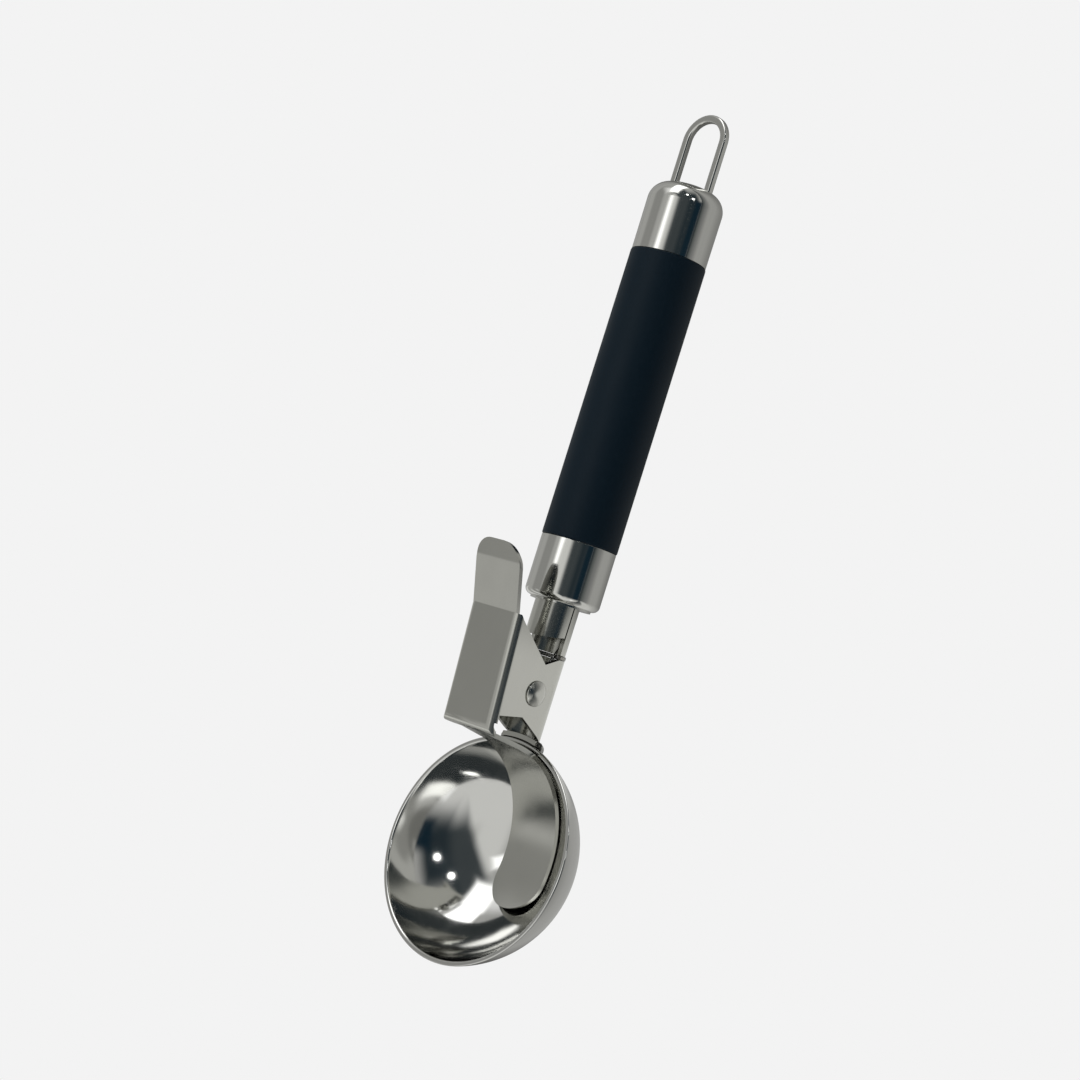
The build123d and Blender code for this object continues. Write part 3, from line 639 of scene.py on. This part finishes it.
class SCOOP_OT_rivet(bpy.types.Operator):
    """Turn the rivet with its two domed heads"""
    bl_idname = "scoop.rivet"
    bl_label = "Rivet"

    def execute(self, context):
        sizes = context.scene.scoop_sizes
        low, high = boxed("pivot_pin")
        radius, end = (high.x - low.x) / 2, high.y
        seat = boxed("lever")[1].y + sizes.head_play / MM
        shank = boxed("pivot_spacer")[1].x - (sizes.spacer_wall + sizes.spacer_fit) / MM
        skirt = sizes.head_skirt / MM
        rise = end - seat - skirt
        dome = (radius**2 + rise**2) / (2 * rise)
        bm = bmesh.new()
        pole = bm.verts.new((end, 0, 0))
        arc = bmesh.ops.spin(bm, geom=[pole], cent=(end - dome, 0, 0), axis=(0, 0, 1),
                             angle=atan2(radius, dome - rise), steps=DOME_RINGS)
        edge = next(v for v in arc["geom_last"] if isinstance(v, bmesh.types.BMVert))
        corners = [edge] + [bm.verts.new(place) for place in (
            (seat, radius, 0), (seat, shank, 0), (0, shank, 0))]
        for ends in zip(corners, corners[1:]):
            bm.edges.new(ends)
        bmesh.ops.mirror(bm, geom=bm.verts[:] + bm.edges[:], axis="X", merge_dist=TOUCHING)
        spun(bm, bm.verts[:] + bm.edges[:], RIVET_SIDES)
        for side in (-1, 1):
            rounded_ring(bm, side * (seat + skirt), radius, sizes.burr / MM, BURR_CUTS)
        middle = Matrix.Translation((0, 0, (low.z + high.z) / 2))
        across = HANDLE @ middle @ Matrix.Rotation(pi / 2, 4, "Z")
        finished("rivet", bm, BODY, "pivot_pin", across)
        return {"FINISHED"}


class SCOOP_OT_sheets(bpy.types.Operator):
    """Break the cut edges of the lever, the fork bracket and the neck tube"""
    bl_idname = "scoop.sheets"
    bl_label = "Sheet pieces"

    def execute(self, context):
        offset = context.scene.scoop_sizes.sheet_round / MM
        for name, node, body in (("lever_sheet", "lever", LEVER),
                                 ("bracket_sheet", "fork_bracket", BODY),
                                 ("neck_pipe", "neck_tube", BODY)):
            bm = merged_copy(node)
            broken_edges(bm, offset)
            finished(name, bm, body, node)
        return {"FINISHED"}


class SCOOP_OT_welds(bpy.types.Operator):
    """Ripple the two beads of weld"""
    bl_idname = "scoop.welds"
    bl_label = "Welds"

    def execute(self, context):
        sizes = context.scene.scoop_sizes
        for name, node in (("bowl_bead", "bowl_weld"), ("neck_bead", "neck_weld")):
            low, high = boxed(node)
            middle, round_pipe = (low + high) / 2, (high.y - low.y) / 2
            bm = merged_copy(node)
            bmesh.ops.subdivide_edges(bm, edges=bm.edges, cuts=WELD_CUTS, use_grid_fill=True)
            bm.normal_update()
            for vertex in bm.verts:
                out = vertex.co - middle
                run = atan2(out.z, out.y) * round_pipe * MM
                dip = (1 - cos(2 * pi * run / sizes.weld_pitch)) / 2
                vertex.co -= vertex.normal * dip * sizes.weld_ripple / MM
            finished(name, bm, BODY, node)
        return {"FINISHED"}


class SCOOP_OT_spring(bpy.types.Operator):
    """Round the return spring's edges"""
    bl_idname = "scoop.spring"
    bl_label = "Return spring"

    def execute(self, context):
        sizes = context.scene.scoop_sizes
        bm = merged_copy("return_spring")
        broken_edges(bm, sizes.sheet_round / MM)
        piece = finished("torsion_spring", bm, None, "return_spring")
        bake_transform(piece)
        return {"FINISHED"}


class SCOOP_OT_stage(bpy.types.Operator):
    """Lay the floor, set the room and place the camera"""
    bl_idname = "scoop.stage"
    bl_label = "Stage"

    def execute(self, context):
        stage, finishes = context.scene.scoop_stage, context.scene.scoop_finishes
        camera = bpy.data.objects.new("camera", bpy.data.cameras.new("camera"))
        context.scene.collection.objects.link(camera)
        camera.data.lens = stage.lens
        camera.data.sensor_width = stage.sensor
        camera.data.clip_start = stage.nearest
        turn = Euler(stage.camera_turn, "XYZ").to_matrix().to_4x4()
        camera.matrix_world = Matrix.Translation(stage.camera_place) @ turn
        context.scene.camera = camera
        bm = bmesh.new()
        bmesh.ops.create_grid(bm, x_segments=1, y_segments=1, size=stage.floor_side / 2)
        mesh = bpy.data.meshes.new("floor")
        bm.to_mesh(mesh)
        bm.free()
        floor = bpy.data.objects.new("floor", mesh)
        context.scene.collection.objects.link(floor)
        mesh.materials.append(floor_glow_and_painted_shadow(finishes))
        context.scene.world = room(finishes)
        context.scene.view_settings.view_transform = "Standard"
        return {"FINISHED"}


# --- add-on -------------------------------------------------------------------------------------
GROUPS = {"scoop_sizes": SCOOP_PG_sizes, "scoop_finishes": SCOOP_PG_finishes,
          "scoop_stage": SCOOP_PG_stage}
OPERATORS = (SCOOP_OT_stage, SCOOP_OT_finishes, SCOOP_OT_bowl, SCOOP_OT_handle, SCOOP_OT_rivet,
             SCOOP_OT_sheets, SCOOP_OT_welds, SCOOP_OT_spring)


class SCOOP_PT_panel(bpy.types.Panel):
    """Settings, and a button for every piece"""
    bl_idname = "SCOOP_PT_panel"
    bl_label = "Ice cream scoop"
    bl_space_type = "VIEW_3D"
    bl_region_type = "UI"
    bl_category = "Scoop"

    def draw(self, context):
        for name, group in GROUPS.items():
            for setting in group.__annotations__:
                self.layout.prop(getattr(context.scene, name), setting)
        for operator in OPERATORS:
            self.layout.operator(operator.bl_idname)


def register():
    """Registers the settings, the operators and the panel."""
    for name, group in GROUPS.items():
        bpy.utils.register_class(group)
        setattr(bpy.types.Scene, name, bpy.props.PointerProperty(type=group))
    for operator in OPERATORS:
        bpy.utils.register_class(operator)
    bpy.utils.register_class(SCOOP_PT_panel)


def unregister():
    """Takes everything that register added away again."""
    bpy.utils.unregister_class(SCOOP_PT_panel)
    for operator in reversed(OPERATORS):
        bpy.utils.unregister_class(operator)
    for name, group in GROUPS.items():
        delattr(bpy.types.Scene, name)
        bpy.utils.unregister_class(group)


def main():
    """Builds the dressed scoop."""
    register()
    bpy.ops.scoop.stage()
    bpy.ops.scoop.finishes()
    bpy.ops.scoop.bowl()
    bpy.ops.scoop.handle()
    bpy.ops.scoop.rivet()
    bpy.ops.scoop.sheets()
    bpy.ops.scoop.welds()
    bpy.ops.scoop.spring()


if __name__ == "__main__":
    main()
